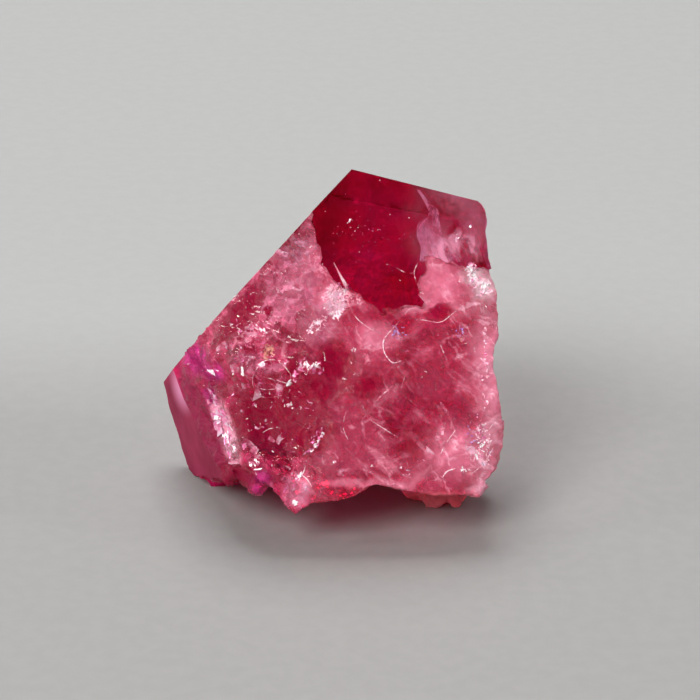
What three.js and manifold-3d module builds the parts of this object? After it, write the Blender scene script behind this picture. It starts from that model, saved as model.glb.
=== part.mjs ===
// Red beryl crystal: a broken piece of one six-sided prism, at its real size.
// Millimetres, +Z up, resting on z = 0, with the origin under the middle of its outer box.
//
// It is shaped in a leaning frame and stood up at the end. In the leaning frame X runs across
// the broken front, Y straight back into the crystal and Z up along the front. The point
// (0, 0, 0) of both frames lies on the ground.
//
// Four sides and one end of the prism are natural crystal faces. The front, the right, the
// underside and the back are fractures: each is a block with one rough side, cut away.

import * as THREE from 'three';
import { ImprovedNoise } from 'three/addons/math/ImprovedNoise.js';
import { mergeVertices } from 'three/addons/utils/BufferGeometryUtils.js';
import Module from 'manifold-3d';

const wasm = await Module();
wasm.setup();

// ---- How the crystal lies -------------------------------------------------------------------
const FRONT_LEAN = 24.5; // degrees that the broken front leans back from upright
const AXIS_LEAN = 18; // degrees between the prism's long axis and square to the front
const AXIS_HEADING = 47.5; // degrees above X in which that axis leans, seen from the front

// ---- The prism ------------------------------------------------------------------------------
const END_CENTRE = new THREE.Vector3(0.3, -0.146, 5.0); // where the axis leaves the end face
const PRISM_LENGTH = 9; // longer than what is left of it
// Each side face: the direction it faces around the axis, and its distance from the axis.
const SIDE_FACES = [
  { facing: 30, distance: 4.3 }, // upper right
  { facing: 90, distance: 2.76 }, // upper left, the longest natural face
  { facing: 150, distance: 3.1 }, // left
  { facing: 210, distance: 8 }, // lower left, broken away
  { facing: 270, distance: 8 }, // below, broken away
  { facing: 330, distance: 4.45 }, // right, left only at the back
];

// ---- The fractures --------------------------------------------------------------------------
const BLOCK = 11; // width of every cutting block
const BLOCK_MIDDLE = 5.2; // height of the cutting blocks' middle
const FRONT_CELLS = 72;
const WALL_CELLS = 50;
const WALL_CELLS_DEEP = 32;
const CUT_DEPTH = 9; // how deep the right and lower blocks are, front to back
const CUT_MIDDLE = 1.5;
const JITTER = 0.34; // how far a corner of the rough side strays, as a share of its cell

// Outline of the end face's remnant on the front, as far as it meets the fracture.
const REMNANT = [
  [-1.2, 8.9], [-0.42, 8.33], [-0.38, 7.8], [-0.17, 7.03], [0, 6.7], [0.55, 6.4], [1.1, 5.99],
  [1.6, 6.11], [1.94, 6.12], [1.84, 6.7], [2.12, 7.31], [2.52, 7.22], [3.14, 7.03], [5, 6.9],
  [5, 11], [-1.2, 11],
];
const REMNANT_CLIFF = 0.16; // width of the step around the remnant
const BELOW_END_FACE = 0.12; // how deep the fracture starts behind the end face's plane

// Right-hand edge of the front, as [height, how far right].
const RIGHT_EDGE = [
  [0, 3.1], [1.2, 3.25], [1.6, 3.45], [2.23, 3.8], [2.88, 4.02], [3.64, 3.94], [4.29, 3.86],
  [4.83, 3.84], [5.31, 3.98], [5.71, 4.08], [6.31, 4.06], [6.96, 3.97], [8.03, 3.9], [8.4, 3.78],
  [8.62, 3.56], [11, 2.9],
];
const RIGHT_INWARD = 0.05; // how much the right wall draws in for each millimetre back

// Lower edge of the front, as [how far right, height].
const LOWER_EDGE = [
  [-5, 2.6], [-2.6, 2.3], [-2.2, 2.32], [-1.75, 2.12], [-1.42, 1.84], [-1.22, 1.52],
  [-0.95, 1.19], [-0.86, 1.14], [-0.72, 1.28], [-0.5, 1.45], [-0.1, 1.46], [0.3, 1.51],
  [0.62, 1.64], [0.76, 1.82], [1.1, 1.84], [1.5, 1.77], [1.9, 1.68], [2.6, 1.62], [3.4, 1.57],
  [5, 1.5],
];
const UNDERSIDE_HEIGHT = 1.9; // of the hollow underside behind the front's lower edge
const LIP_DEPTH = [0.5, 1.3]; // where the lower edge's own shape starts and stops fading
// Parts of the underside that reach the ground: middle and half-widths.
const FEET = [
  { x: 2.72, y: 3.45, halfX: 0.96, halfY: 0.78 }, // right
  { x: -2.4, y: 4.2, halfX: 0.62, halfY: 0.55 }, // left
  { x: 0.4, y: 4.6, halfX: 1.3, halfY: 0.62 }, // back
];
const FOOT_SIDE = 1.9; // steepness of a foot's sides
// A small lump that hangs under the left of the front, off the ground.
const HANGING_LUMP = { x: -1.75, y: 1.0, bottom: 1.62, halfX: 0.36, halfY: 0.5, height: 0.4 };

const BACK_DEPTH = 3.9; // of the broken back, at the height of the lower third
const BACK_SLOPE = 0.09; // how much deeper it gets for each millimetre up

// ---- Roughness of a fracture ----------------------------------------------------------------
const perlin = new ImprovedNoise();

// A repeatable number from 0 to 1 for each pair of whole numbers.
function scatter(i, j, seed) {
  let h = Math.imul(i, 374761393) + Math.imul(j, 668265263) + Math.imul(seed, 362437);
  h = Math.imul(h ^ (h >>> 13), 1274126177);
  return ((h ^ (h >>> 16)) >>> 0) / 4294967296;
}

// Overlapping shell-shaped dents, about one for each cell, with sharp crests between them.
// Returns how deep the surface is cut, from about 0 to 1.
function shells(x, y, cell, seed) {
  const column = Math.floor(x / cell);
  const row = Math.floor(y / cell);
  let deepest = -1;
  for (let i = column - 2; i <= column + 2; i += 1) {
    for (let j = row - 2; j <= row + 2; j += 1) {
      const dx = x / cell - i - scatter(i, j, seed);
      const dy = y / cell - j - scatter(i, j, seed + 1);
      const depth = 0.5 + 0.5 * scatter(i, j, seed + 2);
      deepest = Math.max(deepest, depth - 0.55 * (dx * dx + dy * dy));
    }
  }
  return deepest;
}

// Broad waves, dents and small dents together, in millimetres, about zero on average.
function roughness(x, y, seed) {
  const broad = perlin.noise(x * 0.45, y * 0.45, seed + 0.37);
  const warpX = x + 0.35 * perlin.noise(x * 0.9, y * 0.9, seed + 4.1);
  const warpY = y + 0.35 * perlin.noise(x * 0.9, y * 0.9, seed + 8.3);
  const dents = shells(warpX, warpY, 1.15, seed) - 0.7;
  const small = shells(warpX, warpY, 0.42, seed + 10) - 0.7;
  return 0.22 * broad + 0.34 * dents + 0.1 * small;
}

// ---- Helpers --------------------------------------------------------------------------------
const degrees = THREE.MathUtils.degToRad;
const { smoothstep, lerp } = THREE.MathUtils;

// Value at x on the straight-line graph through points [x, value].
function alongGraph(points, x) {
  let k = 1;
  while (k < points.length - 1 && points[k][0] < x) k += 1;
  const [x0, y0] = points[k - 1];
  const [x1, y1] = points[k];
  const t = THREE.MathUtils.clamp((x - x0) / (x1 - x0), 0, 1);
  return lerp(y0, y1, t);
}

// Distance from (x, z) to an outline, positive inside it.
function insideBy(outline, x, z) {
  let nearest = Infinity;
  let inside = false;
  outline.forEach(([x1, z1], k) => {
    const [x0, z0] = outline[(k + outline.length - 1) % outline.length];
    const along = ((x - x0) * (x1 - x0) + (z - z0) * (z1 - z0)) / ((x1 - x0) ** 2 + (z1 - z0) ** 2);
    const t = THREE.MathUtils.clamp(along, 0, 1);
    nearest = Math.min(nearest, Math.hypot(x - lerp(x0, x1, t), z - lerp(z0, z1, t)));
    const crosses = (z0 > z) !== (z1 > z);
    if (crosses && x < x0 + ((z - z0) * (x1 - x0)) / (z1 - z0)) inside = !inside;
  });
  return inside ? nearest : -nearest;
}

// A closed geometry as a solid that can be cut.
function solidFrom(geometry) {
  const bare = geometry.clone();
  bare.deleteAttribute('normal');
  bare.deleteAttribute('uv');
  const merged = mergeVertices(bare, 1e-5);
  const vertProperties = Float32Array.from(merged.attributes.position.array);
  const triVerts = Uint32Array.from(merged.index.array);
  return new wasm.Manifold(new wasm.Mesh({ numProp: 3, vertProperties, triVerts }));
}

function geometryFrom(solid) {
  const mesh = solid.getMesh();
  const geometry = new THREE.BufferGeometry();
  geometry.setAttribute('position', new THREE.BufferAttribute(Float32Array.from(mesh.vertProperties), 3));
  geometry.setIndex(new THREE.BufferAttribute(Uint32Array.from(mesh.triVerts), 1));
  return geometry;
}

// A block with one rough side, which crosses `axis` and follows surface(a, b): a and b are a
// point's two other coordinates, in X, Y, Z order. The block fills the space before the
// surface, or with `beyond` the space past it.
function roughBlock({ axis, size, middle, cells, surface, beyond = false }) {
  const block = new THREE.BoxGeometry(...size, ...cells);
  block.translate(...middle);
  const place = block.attributes.position;
  const across = ['x', 'y', 'z'].indexOf(axis);
  const [first, second] = [0, 1, 2].filter((k) => k !== across);
  const level = middle[across] + (beyond ? -1 : 1) * (size[across] / 2);
  for (let n = 0; n < place.count; n += 1) {
    const point = [place.getX(n), place.getY(n), place.getZ(n)];
    if (Math.abs(point[across] - level) > 1e-4) continue;
    const column = Math.round((point[first] / size[first]) * cells[first]);
    const row = Math.round((point[second] / size[second]) * cells[second]);
    point[first] += (scatter(column, row, 5) - 0.5) * 2 * JITTER * (size[first] / cells[first]);
    point[second] += (scatter(column, row, 6) - 0.5) * 2 * JITTER * (size[second] / cells[second]);
    point[across] = surface(point[first], point[second]);
    place.setXYZ(n, ...point);
  }
  return solidFrom(block);
}

// ---- The natural prism ----------------------------------------------------------------------
// The prism's long axis, pointing out of its end face.
const C_AXIS = new THREE.Vector3(
  Math.sin(degrees(AXIS_LEAN)) * Math.cos(degrees(AXIS_HEADING)),
  -Math.cos(degrees(AXIS_LEAN)),
  Math.sin(degrees(AXIS_LEAN)) * Math.sin(degrees(AXIS_HEADING)),
);

function prism() {
  const corners = SIDE_FACES.map((face, k) => {
    const next = SIDE_FACES[(k + 1) % SIDE_FACES.length];
    const a = degrees(face.facing);
    const b = degrees(next.facing);
    const det = Math.sin(b - a);
    return new THREE.Vector2(
      (face.distance * Math.sin(b) - next.distance * Math.sin(a)) / det,
      (next.distance * Math.cos(a) - face.distance * Math.cos(b)) / det,
    );
  });
  const body = new THREE.ExtrudeGeometry(new THREE.Shape(corners), {
    depth: PRISM_LENGTH,
    bevelEnabled: false,
  });
  body.translate(0, 0, -PRISM_LENGTH);
  const heading = degrees(AXIS_HEADING);
  const upperLeft = new THREE.Vector3(-Math.sin(heading), 0, Math.cos(heading));
  const across = new THREE.Vector3().crossVectors(upperLeft, C_AXIS);
  body.applyMatrix4(new THREE.Matrix4().makeBasis(across, upperLeft, C_AXIS));
  body.translate(...END_CENTRE.toArray());
  return solidFrom(body);
}

// ---- The four fractures ---------------------------------------------------------------------
const RIDGE_FOOT = { x: -2.05, z: 2.6 }; // the crest along the front's left margin, at its foot
const RIDGE_LEAN = -0.12; // how far that crest moves sideways for each millimetre up
const MARGIN_SLOPE = 1.8; // how steeply the front falls away left of it
const ROUGH_LEFT = 1; // share of the full roughness at the left of the front
const ROUGH_RIGHT = 0.45; // and at its right

// Broad hollows in the front: middle, radius and depth.
const HOLLOWS = [
  { x: -1.75, z: 6.9, radius: 1.6, depth: 0.26 }, // long flake by the end face
  { x: -1.5, z: 3.4, radius: 1.1, depth: 0.26 }, // glassy pool
  { x: 0.05, z: 4.65, radius: 0.75, depth: 0.16 }, // small pool
  { x: 2.6, z: 3.9, radius: 1.2, depth: 0.12 }, // shallow dish on the right
];

// Height of the ground in the leaning frame.
function groundHeight(y) {
  return y * Math.tan(degrees(FRONT_LEAN));
}

// How far back the plane of the end face is.
function endFaceDepth(x, z) {
  return END_CENTRE.y - (C_AXIS.x * (x - END_CENTRE.x) + C_AXIS.z * (z - END_CENTRE.z)) / C_AXIS.y;
}

function frontDepth(x, z) {
  const dome = 0.05 + 0.022 * x * x + 0.024 * (z - 3.2) ** 2;
  const share = lerp(ROUGH_LEFT, ROUGH_RIGHT, smoothstep(x, -1.5, 2));
  const crest = RIDGE_FOOT.x + RIDGE_LEAN * (z - RIDGE_FOOT.z);
  const pastCrest = Math.max(0, crest - x);
  let depth = Math.max(dome, endFaceDepth(x, z) + BELOW_END_FACE);
  depth += share * Math.max(roughness(x, z, 3), -0.1) + MARGIN_SLOPE * pastCrest;
  const warp = 0.3 * perlin.noise(x, z, 21.5);
  HOLLOWS.forEach((hollow) => {
    const off = Math.hypot(x - hollow.x, z - hollow.z) / hollow.radius + warp;
    depth += hollow.depth * Math.max(0, 1 - off * off);
  });
  const kept = smoothstep(insideBy(REMNANT, x, z), -REMNANT_CLIFF / 2, REMNANT_CLIFF / 2);
  return lerp(depth, -1.5, kept);
}

function rightWall(y, z) {
  const edge = alongGraph(RIGHT_EDGE, z);
  const behind = smoothstep(y, 0.3, 1.4);
  const relief = Math.max(0, 0.16 + 1.1 * roughness(y, z, 31));
  return edge - RIGHT_INWARD * Math.max(0, y) - behind * relief;
}

function underside(x, y) {
  const lip = alongGraph(LOWER_EDGE, x);
  const behind = smoothstep(y, ...LIP_DEPTH);
  let height = lerp(lip, UNDERSIDE_HEIGHT + 0.8 * roughness(x, y, 47), behind);
  const warp = 0.32 * perlin.noise(x * 1.6, y * 1.6, 13.5);
  FEET.forEach((foot) => {
    const offX = Math.abs((x - foot.x) / foot.halfX);
    const offY = Math.abs((y - foot.y) / foot.halfY);
    const beyond = Math.max(0, (offX ** 4 + offY ** 4) ** 0.25 - 1 + warp);
    const sole = groundHeight(y) - 0.02 + 0.9 * roughness(x, y, 59);
    height = Math.min(height, sole + FOOT_SIDE * beyond);
  });
  const lump = HANGING_LUMP;
  const off = Math.hypot((x - lump.x) / lump.halfX, (y - lump.y) / lump.halfY) + warp;
  return Math.min(height, lump.bottom + lump.height * off ** 2);
}

// A shell-shaped break spreads over the back from one point, with low ribs around it.
const BACK_BLOW = { x: 1.9, z: 6.8 };
const RIB_SPACING = 0.95;
const RIB_HEIGHT = 0.05;

function backDepth(x, z) {
  const drawIn = 0.1 * Math.max(0, x - 1) ** 2;
  const fromBlow = Math.hypot(x - BACK_BLOW.x, z - BACK_BLOW.z);
  const wander = 0.4 * perlin.noise(x * 0.7, z * 0.7, 91.5);
  const ribs = RIB_HEIGHT * Math.sin((2 * Math.PI * (fromBlow + wander)) / RIB_SPACING);
  const bowl = 0.035 * (fromBlow - 2.5) ** 2;
  return BACK_DEPTH + BACK_SLOPE * (z - 3) - drawIn + bowl + ribs + 0.8 * roughness(x, z, 71);
}

function breakOff(body) {
  const front = roughBlock({
    axis: 'y', size: [BLOCK, 4, BLOCK], middle: [0, -2, BLOCK_MIDDLE],
    cells: [FRONT_CELLS, 1, FRONT_CELLS], surface: frontDepth,
  });
  const right = roughBlock({
    axis: 'x', size: [BLOCK, CUT_DEPTH, 2 * BLOCK], middle: [BLOCK / 2 + 2, CUT_MIDDLE, BLOCK_MIDDLE],
    cells: [1, WALL_CELLS_DEEP, 2 * WALL_CELLS], surface: rightWall, beyond: true,
  });
  const below = roughBlock({
    axis: 'z', size: [BLOCK, CUT_DEPTH, BLOCK], middle: [0, CUT_MIDDLE, -BLOCK / 2],
    cells: [WALL_CELLS, WALL_CELLS_DEEP, 1], surface: underside,
  });
  const back = roughBlock({
    axis: 'y', size: [BLOCK, BLOCK, BLOCK], middle: [0, BACK_DEPTH + BLOCK / 2, BLOCK_MIDDLE],
    cells: [WALL_CELLS, 1, WALL_CELLS], surface: backDepth, beyond: true,
  });
  return body.subtract(front).subtract(right).subtract(below).subtract(back);
}

// ---- Standing it up -------------------------------------------------------------------------
// Turned to how it rests, worn flat on its three feet, and centred over the origin.
function standUp(body) {
  const upright = geometryFrom(body);
  upright.rotateX(-degrees(FRONT_LEAN));
  const ground = new THREE.BoxGeometry(3 * BLOCK, 3 * BLOCK, BLOCK);
  ground.translate(0, 0, -BLOCK / 2);
  const resting = geometryFrom(solidFrom(upright).subtract(solidFrom(ground)));
  resting.computeBoundingBox();
  const middle = resting.boundingBox.getCenter(new THREE.Vector3());
  resting.translate(-middle.x, -middle.y, -resting.boundingBox.min.z);
  return resting;
}

const beryl = new THREE.MeshStandardMaterial({ color: 0xb8184a, roughness: 0.12, metalness: 0 });

const crystal = new THREE.Mesh(standUp(breakOff(prism())), beryl);
crystal.name = 'crystal';

const object = new THREE.Group();
object.add(crystal);

export default object;
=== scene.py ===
"""Red beryl crystal: the looks of one broken, see-through prism, in metres, lying on a pale floor."""

import math
import random
from types import SimpleNamespace

import bmesh
import bpy
from mathutils import Matrix, Vector, noise
from mathutils.bvhtree import BVHTree


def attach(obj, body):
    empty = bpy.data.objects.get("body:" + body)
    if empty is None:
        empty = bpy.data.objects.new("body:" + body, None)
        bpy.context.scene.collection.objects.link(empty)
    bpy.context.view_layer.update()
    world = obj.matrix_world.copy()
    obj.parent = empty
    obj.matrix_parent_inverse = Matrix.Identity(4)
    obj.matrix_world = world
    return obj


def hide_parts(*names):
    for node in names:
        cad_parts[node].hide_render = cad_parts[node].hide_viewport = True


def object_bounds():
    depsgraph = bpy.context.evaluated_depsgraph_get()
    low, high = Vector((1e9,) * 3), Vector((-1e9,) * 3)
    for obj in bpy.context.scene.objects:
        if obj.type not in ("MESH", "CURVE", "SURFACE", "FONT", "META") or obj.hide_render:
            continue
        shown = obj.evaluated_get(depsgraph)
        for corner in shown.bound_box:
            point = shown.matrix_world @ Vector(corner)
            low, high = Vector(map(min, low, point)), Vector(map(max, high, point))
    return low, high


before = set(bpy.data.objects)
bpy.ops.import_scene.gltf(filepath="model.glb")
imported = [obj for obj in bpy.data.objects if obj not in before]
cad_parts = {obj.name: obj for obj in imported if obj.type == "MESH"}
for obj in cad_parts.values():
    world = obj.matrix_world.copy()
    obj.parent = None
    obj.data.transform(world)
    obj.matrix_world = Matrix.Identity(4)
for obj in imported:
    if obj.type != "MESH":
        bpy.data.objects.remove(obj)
CAD_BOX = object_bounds()
BODY = "root"
MM = 0.001

# ---- How the crystal lies: the same angles as its solid -----------------------------------------
FRONT_LEAN = math.radians(24.5)
AXIS_LEAN = math.radians(18.0)
AXIS_HEADING = math.radians(47.5)
# Which ways the natural side faces look, in degrees around the axis. The left one is the third.
SIDE_FACINGS = (30, 90, 150, 330)
LEFT_FACE = 3
TO_ROW = Matrix.Rotation(-FRONT_LEAN, 3, "X")
INTO_FRONT = TO_ROW @ Vector((0, 1, 0))
TOWARDS_FRONT = TO_ROW @ Vector((0, -1, 0))

# ---- Fineness of the surface, in metres ----------------------------------------------------------
MERGE = 0.004 * MM
PLANE_GAP = 0.006 * MM
SAME_PLANE = 0.99995
FRONT_EDGE = 0.08 * MM
BACK_EDGE = 0.14 * MM
SPLIT_ROUNDS = 3
NATURAL_STEP = 0.3 * MM
GROUND_GAP = 0.002 * MM
SHARP_ANGLE = math.radians(24)
SOFTENING = 3

# ---- Relief of the fractures, in millimetres -----------------------------------------------------
FRONT_DEPTH = -1.3
BORDER_WANDER = 0.05
CHIP_SIZE = 0.62
CHIP_RELIEF = 0.13
LARGE_FACET_SIZE = 0.42
LARGE_FACET_RELIEF = 0.1
SMALL_FACET_SIZE = 0.23
SMALL_FACET_RELIEF = 0.05
SWELL_RELIEF = 0.05
WRINKLE_RELIEF = 0.02

# ---- Thin pieces in and on the crystal, in millimetres -------------------------------------------
FLAKE_THICKNESS = 0.006
CURTAIN_THICKNESS = 0.01
CURTAIN_LEAST_DEPTH = 0.012
SPLINTER_THICKNESS = 0.025
THICK_THREAD = 0.028
THIN_THREAD = 0.016
SPECK_RIGHT = 0.6
SPECK_UP = 5.95
SPECK_SIZES = (0.005, 0.016)
SPECK_HEIGHTS = (-0.05, 0.0)

# ---- Counts, seeds and shares --------------------------------------------------------------------
NOISE_SEED = 5
CHIP_SHIFT = Vector((3.1, 6.2, -3.1))
CURTAIN_ROWS = 56
CURTAIN_COLUMNS = 30
SPLINTER_ROWS = 10
SPECK_COUNT = 90
SPECK_SEED = 11
# A flake's length is a share of its group's size, and its width and bend are shares of its length.
FLAKE_LENGTHS = (0.4, 1.2)
FLAKE_WIDTHS = (0.15, 0.6)
FLAKE_BENDS = (-0.5, 0.5)
# How far flakes tilt out of the surface, and how far those that lie alike turn, in degrees.
LOOSE_TILT = 0.35
ALIKE_TILT = 0.15
ALIKE_SCATTER = 9
# The least part of a thread's thickness that it keeps anywhere.
THREAD_LEAST_SHARE = 0.15
# How squarely a place must face the front to carry a flake, and the end face to hide a speck.
FACING_LIMIT = 0.42
SAME_FACE = 0.999

# ---- Optical values ------------------------------------------------------------------------------
BERYL_IOR = 1.575
RASPBERRY = (0.905, 0.03, 0.55, 1.0)
RASPBERRY_DENSITY = 1150.0

# ---- Colours of the frosted crystal and of the clear glass's surface -----------------------------
ROSE = (1.0, 0.15, 0.31, 1)
RED_ROSE = (0.85, 0.03, 0.17, 1)
PALE_PINK = (1.0, 0.52, 0.66, 1)
DUSTY_PINK = (0.8, 0.34, 0.52, 1)
CRUSHED_PINK = (1.0, 0.72, 0.8, 1)
DARK_CRIMSON = (0.4, 0.0, 0.055, 1)
BACK_CRIMSON = (0.72, 0.004, 0.12, 1)
DARK_VIOLET = (0.34, 0.0, 0.12, 1)
HOT_VIOLET = (0.95, 0.05, 0.38, 1)
PLUM = (0.32, 0.014, 0.07, 1)
BASE_RED = (0.3, 0.0, 0.04, 1)
FOOT_RED = (1.0, 0.22, 0.26, 1)
CLEAR_GLASS = (1.0, 0.9, 0.95, 1)
DEEP_GLASS = (0.95, 0.14, 0.44, 1)
MAGENTA_GLASS = (1.0, 0.4, 1.0, 1)

# ---- Camera and light ----------------------------------------------------------------------------
LOW, HIGH = CAD_BOX
AIM = Vector((0.06 * (HIGH.x - LOW.x), 0, 0.449 * HIGH.z))
LENS = 180.0
SENSOR = 36.0
CAMERA_DISTANCE = 10.4 * HIGH.z
CLIP_START = 0.001
CLIP_END = 2.0
FLOOR_RADIUS = 0.5
TO_DARK_CARD = Vector((0.22, -0.74, 0.62)).normalized()
ROOM_RING = 0.45
ROOM_TOP = 0.3
ROOM_DARK = 0.02
# Each light's name, place, size and power, and whether the crystal mirrors it.
LIGHTS = (
    ("back_light", (-0.02, 0.15, 0.3), 0.2, 1.1, True),
    ("left_light", (-0.24, -0.04, 0.15), 0.04, 0.1, True),
    ("right_light", (0.24, -0.02, 0.16), 0.04, 0.1, True),
    ("front_fill", (-0.14, -0.24, 0.25), 0.2, 1.6, False),
)

# ---- Marks on the front --------------------------------------------------------------------------
# An oval is right, up, half width and half height in millimetres. It may go on with its turn in
# degrees, anticlockwise, and how soft its edge is.

# Smooth places on the chipped part.
SMOOTH_PATCHES = (
    (-1.3, 2.55, 0.42, 0.36),
    (-1.4, 1.55, 0.9, 0.75),
    (-0.75, -0.1, 0.4, 0.5),
)
# Places of one colour or clearness.
MILKY_PATCHES = (
    (2.7, 4.85, 0.75, 0.6),
    (3.5, 4.9, 0.4, 0.5),
    (0.15, 4.4, 0.3, 0.4),
    (0.8, 0.2, 1.0, 0.12),
    (3.2, 4.25, 0.6, 0.3),
    (2.1, 4.35, 0.5, 0.22),
    (1.1, 3.6, 0.45, 0.3),
    (2.9, 0.9, 0.9, 0.6, 20, 0.7),
    (-0.7, 0.0, 0.3, 0.35, 0, 0.8),
)
PINK_PATCHES = (
    (-0.9, 4.7, 0.75, 0.9, -30),
    (-0.3, 3.9, 0.5, 0.5),
    (-1.9, 2.95, 0.4, 0.25),
    (-0.75, 0.0, 0.35, 0.4),
    (-1.3, 2.82, 0.32, 0.14, 10),
)
# The ridge: streaks of frosting that are partly painted reflection of its steep steps.
RIDGE_PATCH = (-2.47, 1.42, 0.27, 0.9, 20, 0.3)
BASE_PATCH = (-2.35, 0.2, 0.55, 0.4, 0, 0.3)
LEFT_STRIP_PATCH = (-3.06, 1.65, 0.32, 1.4, 25, 0.3)
MAUVE_PATCH = (-0.85, 5.75, 0.5, 0.5, 45, 0.6)
FOOT_PATCH = (2.55, -0.45, 1.0, 0.42, 0, 0.3)
# Painted highlight on the left natural face.
HIGHLIGHT_STREAK_PATCH = (-3.56, 2.4, 0.19, 0.42, 12, 0.95)
GLASSY_PATCHES = (
    (-1.15, 1.7, 1.05, 0.85, 0, 0.3),
    (-0.6, 2.25, 0.95, 0.36, 10, 0.4),
    (0.15, 2.95, 0.4, 0.5, 0, 0.3),
    (0.85, 2.45, 0.4, 0.25, 0, 0.4),
    (-2.1, 4.05, 0.25, 0.8, -40),
    (-1.42, 4.2, 0.13, 0.07, 15),
    (-2.4, 0.3, 0.5, 0.25),
    (2.6, 4.15, 0.3, 0.2, 20),
)
CRUSHED_PATCHES = (
    (3.4, 5.1, 0.25, 0.3, 20, 0.6),
    (3.65, 4.75, 0.25, 0.3, 0, 0.6),
    (0.15, 4.42, 0.16, 0.24, 0, 0.8),
)
INNER_HAZE = (3.0, 6.3, 0.8, 0.9, 0, 0.9)
INNER_CLOUDS = (
    (3.0, 5.6, 0.55, 0.3),
    (3.01, 5.9, 0.12, 0.2),
    (2.75, 5.4, 0.5, 0.16),
)
END_RED_PATCHES = (
    (-0.1, 6.4, 0.9, 1.0, 0, 0.8),
    (1.6, 4.8, 0.7, 0.5, 0, 0.8),
)
END_MAGENTA_PATCHES = (
    (1.4, 6.0, 0.6, 1.2, 0, 0.8),
    (0.1, 5.6, 0.7, 0.3, 0, 0.8),
)
MAGENTA_PATCHES = (
    (-3.2, 3.05, 0.38, 0.4),
    (-2.75, 2.75, 0.32, 0.24, -20),
    (-2.85, 2.2, 0.18, 0.25),
    (-1.62, 0.15, 0.3, 0.3),
)
ORANGE_PATCHES = (
    (3.15, 3.5, 0.15, 0.1),
    (-1.45, 3.25, 0.3, 0.3),
    (3.2, 0.45, 0.2, 0.15),
)
# Flakes of open crack, in groups. A group is an oval with its turn, how many flakes, their size in
# millimetres and, where they lie alike, the way they point, in degrees anticlockwise from the right.
LEFT_FLAKES = (
    ((-1.3, 1.7, 1.1, 1.1, 0), 36, 0.12),
    ((-2.47, 1.42, 0.15, 0.8, 20), 20, 0.45, -68),
    ((-1.9, 3.6, 0.5, 0.8, -40), 25, 0.12),
    ((-0.6, 2.9, 0.5, 0.25, 0), 20, 0.14),
    ((-0.35, 1.15, 0.12, 0.35, -35), 16, 0.14),
    ((-0.8, 0.0, 0.3, 0.5, 0), 18, 0.12),
)
RIGHT_FLAKES = (
    ((3.45, 4.9, 0.22, 0.4, 20), 20, 0.12),
    ((3.6, 1.1, 0.15, 0.7, 10), 24, 0.12),
    ((3.6, 2.8, 0.1, 1.1, 0), 16, 0.07),
    ((1.2, 0.55, 1.4, 0.25, 0), 14, 0.07),
    ((2.4, 3.3, 1.0, 1.2, 0), 14, 0.06),
)
# Painted glints: white flakes that stand in for highlights, in groups as above.
PAINTED_GLINTS = (
    ((-1.65, 3.76, 0.1, 0.05, -25), 8, 0.2, -25),
    ((-0.45, 2.9, 0.22, 0.1, 10), 14, 0.15),
    ((-2.12, 2.78, 0.16, 0.04, 0), 5, 0.24, 80),
    ((-0.93, 2.5, 0.03, 0.08, 0), 5, 0.22, 65),
    ((-1.6, 2.9, 0.12, 0.03, 15), 5, 0.16, 35),
    ((-0.9, 1.95, 0.06, 0.06, 0), 4, 0.12),
    ((-1.72, 2.0, 0.03, 0.05, 0), 3, 0.08),
    ((-2.65, 1.62, 0.06, 0.06, 0), 4, 0.13),
    ((-2.62, 1.75, 0.06, 0.45, 20), 7, 0.22, -65),
    ((-2.36, 1.2, 0.14, 0.4, 15), 12, 0.24, -75),
    ((-2.72, 2.78, 0.12, 0.08, 0), 7, 0.26, -25),
    ((-0.26, 1.15, 0.02, 0.28, -30), 8, 0.12),
    ((-0.68, 0.34, 0.07, 0.07, 0), 6, 0.14),
    ((-0.78, -0.28, 0.05, 0.05, 0), 5, 0.15),
    ((-1.7, 0.55, 0.14, 0.2, 25), 8, 0.14),
    ((0.56, 3.28, 0.06, 0.04, 0), 5, 0.1),
    ((0.13, 0.7, 0.02, 0.02, 0), 2, 0.07),
    ((1.01, 0.59, 0.02, 0.02, 0), 2, 0.07),
    ((1.68, 0.52, 0.02, 0.08, 0), 3, 0.07),
    ((2.15, 2.63, 0.02, 0.02, 0), 2, 0.06),
    ((3.5, 1.0, 0.06, 0.3, -15), 10, 0.14),
    ((3.15, 0.48, 0.15, 0.05, 0), 6, 0.13),
    ((3.36, 5.12, 0.1, 0.18, 25), 20, 0.13),
    ((3.6, 4.78, 0.14, 0.1, 0), 22, 0.12),
    ((0.48, 6.3, 0.025, 0.04, 0), 9, 0.05),
    ((0.6, 6.1, 0.35, 0.25, 0), 10, 0.02),
    ((3.33, 6.18, 0.02, 0.06, 20), 4, 0.1, 60),
    ((3.0, 5.9, 0.04, 0.1, 0), 8, 0.06),
    ((-1.4, 4.4, 0.9, 0.9, 0), 16, 0.05),
    ((-1.3, 1.5, 0.9, 1.0, 0), 26, 0.05),
)
ROSETTE_FLAKES = (
    ((0.15, 4.42, 0.27, 0.38, 0), 110, 0.13),
    ((-0.25, 3.85, 0.3, 0.14, 40), 40, 0.1),
    ((0.55, 4.5, 0.2, 0.12, -20), 20, 0.1),
    ((3.4, 5.05, 0.16, 0.28, 20), 36, 0.13),
    ((3.62, 4.75, 0.2, 0.2, 0), 30, 0.14),
    ((3.65, 2.9, 0.1, 1.0, 0), 30, 0.08),
    ((3.6, 1.1, 0.18, 0.6, 0), 50, 0.1),
)
FILM_FLAKES = (
    ((1.65, 3.7, 0.2, 0.22, 0), 14, 0.1),
    ((3.05, 3.7, 0.12, 0.12, 0), 8, 0.09),
    ((3.15, 3.5, 0.15, 0.08, 0), 6, 0.08),
    ((3.3, 1.3, 0.12, 0.3, 0), 8, 0.08),
    ((-1.45, 3.22, 0.14, 0.2, -40), 26, 0.14),
    ((3.2, 0.45, 0.1, 0.06, 0), 5, 0.1),
)
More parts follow.
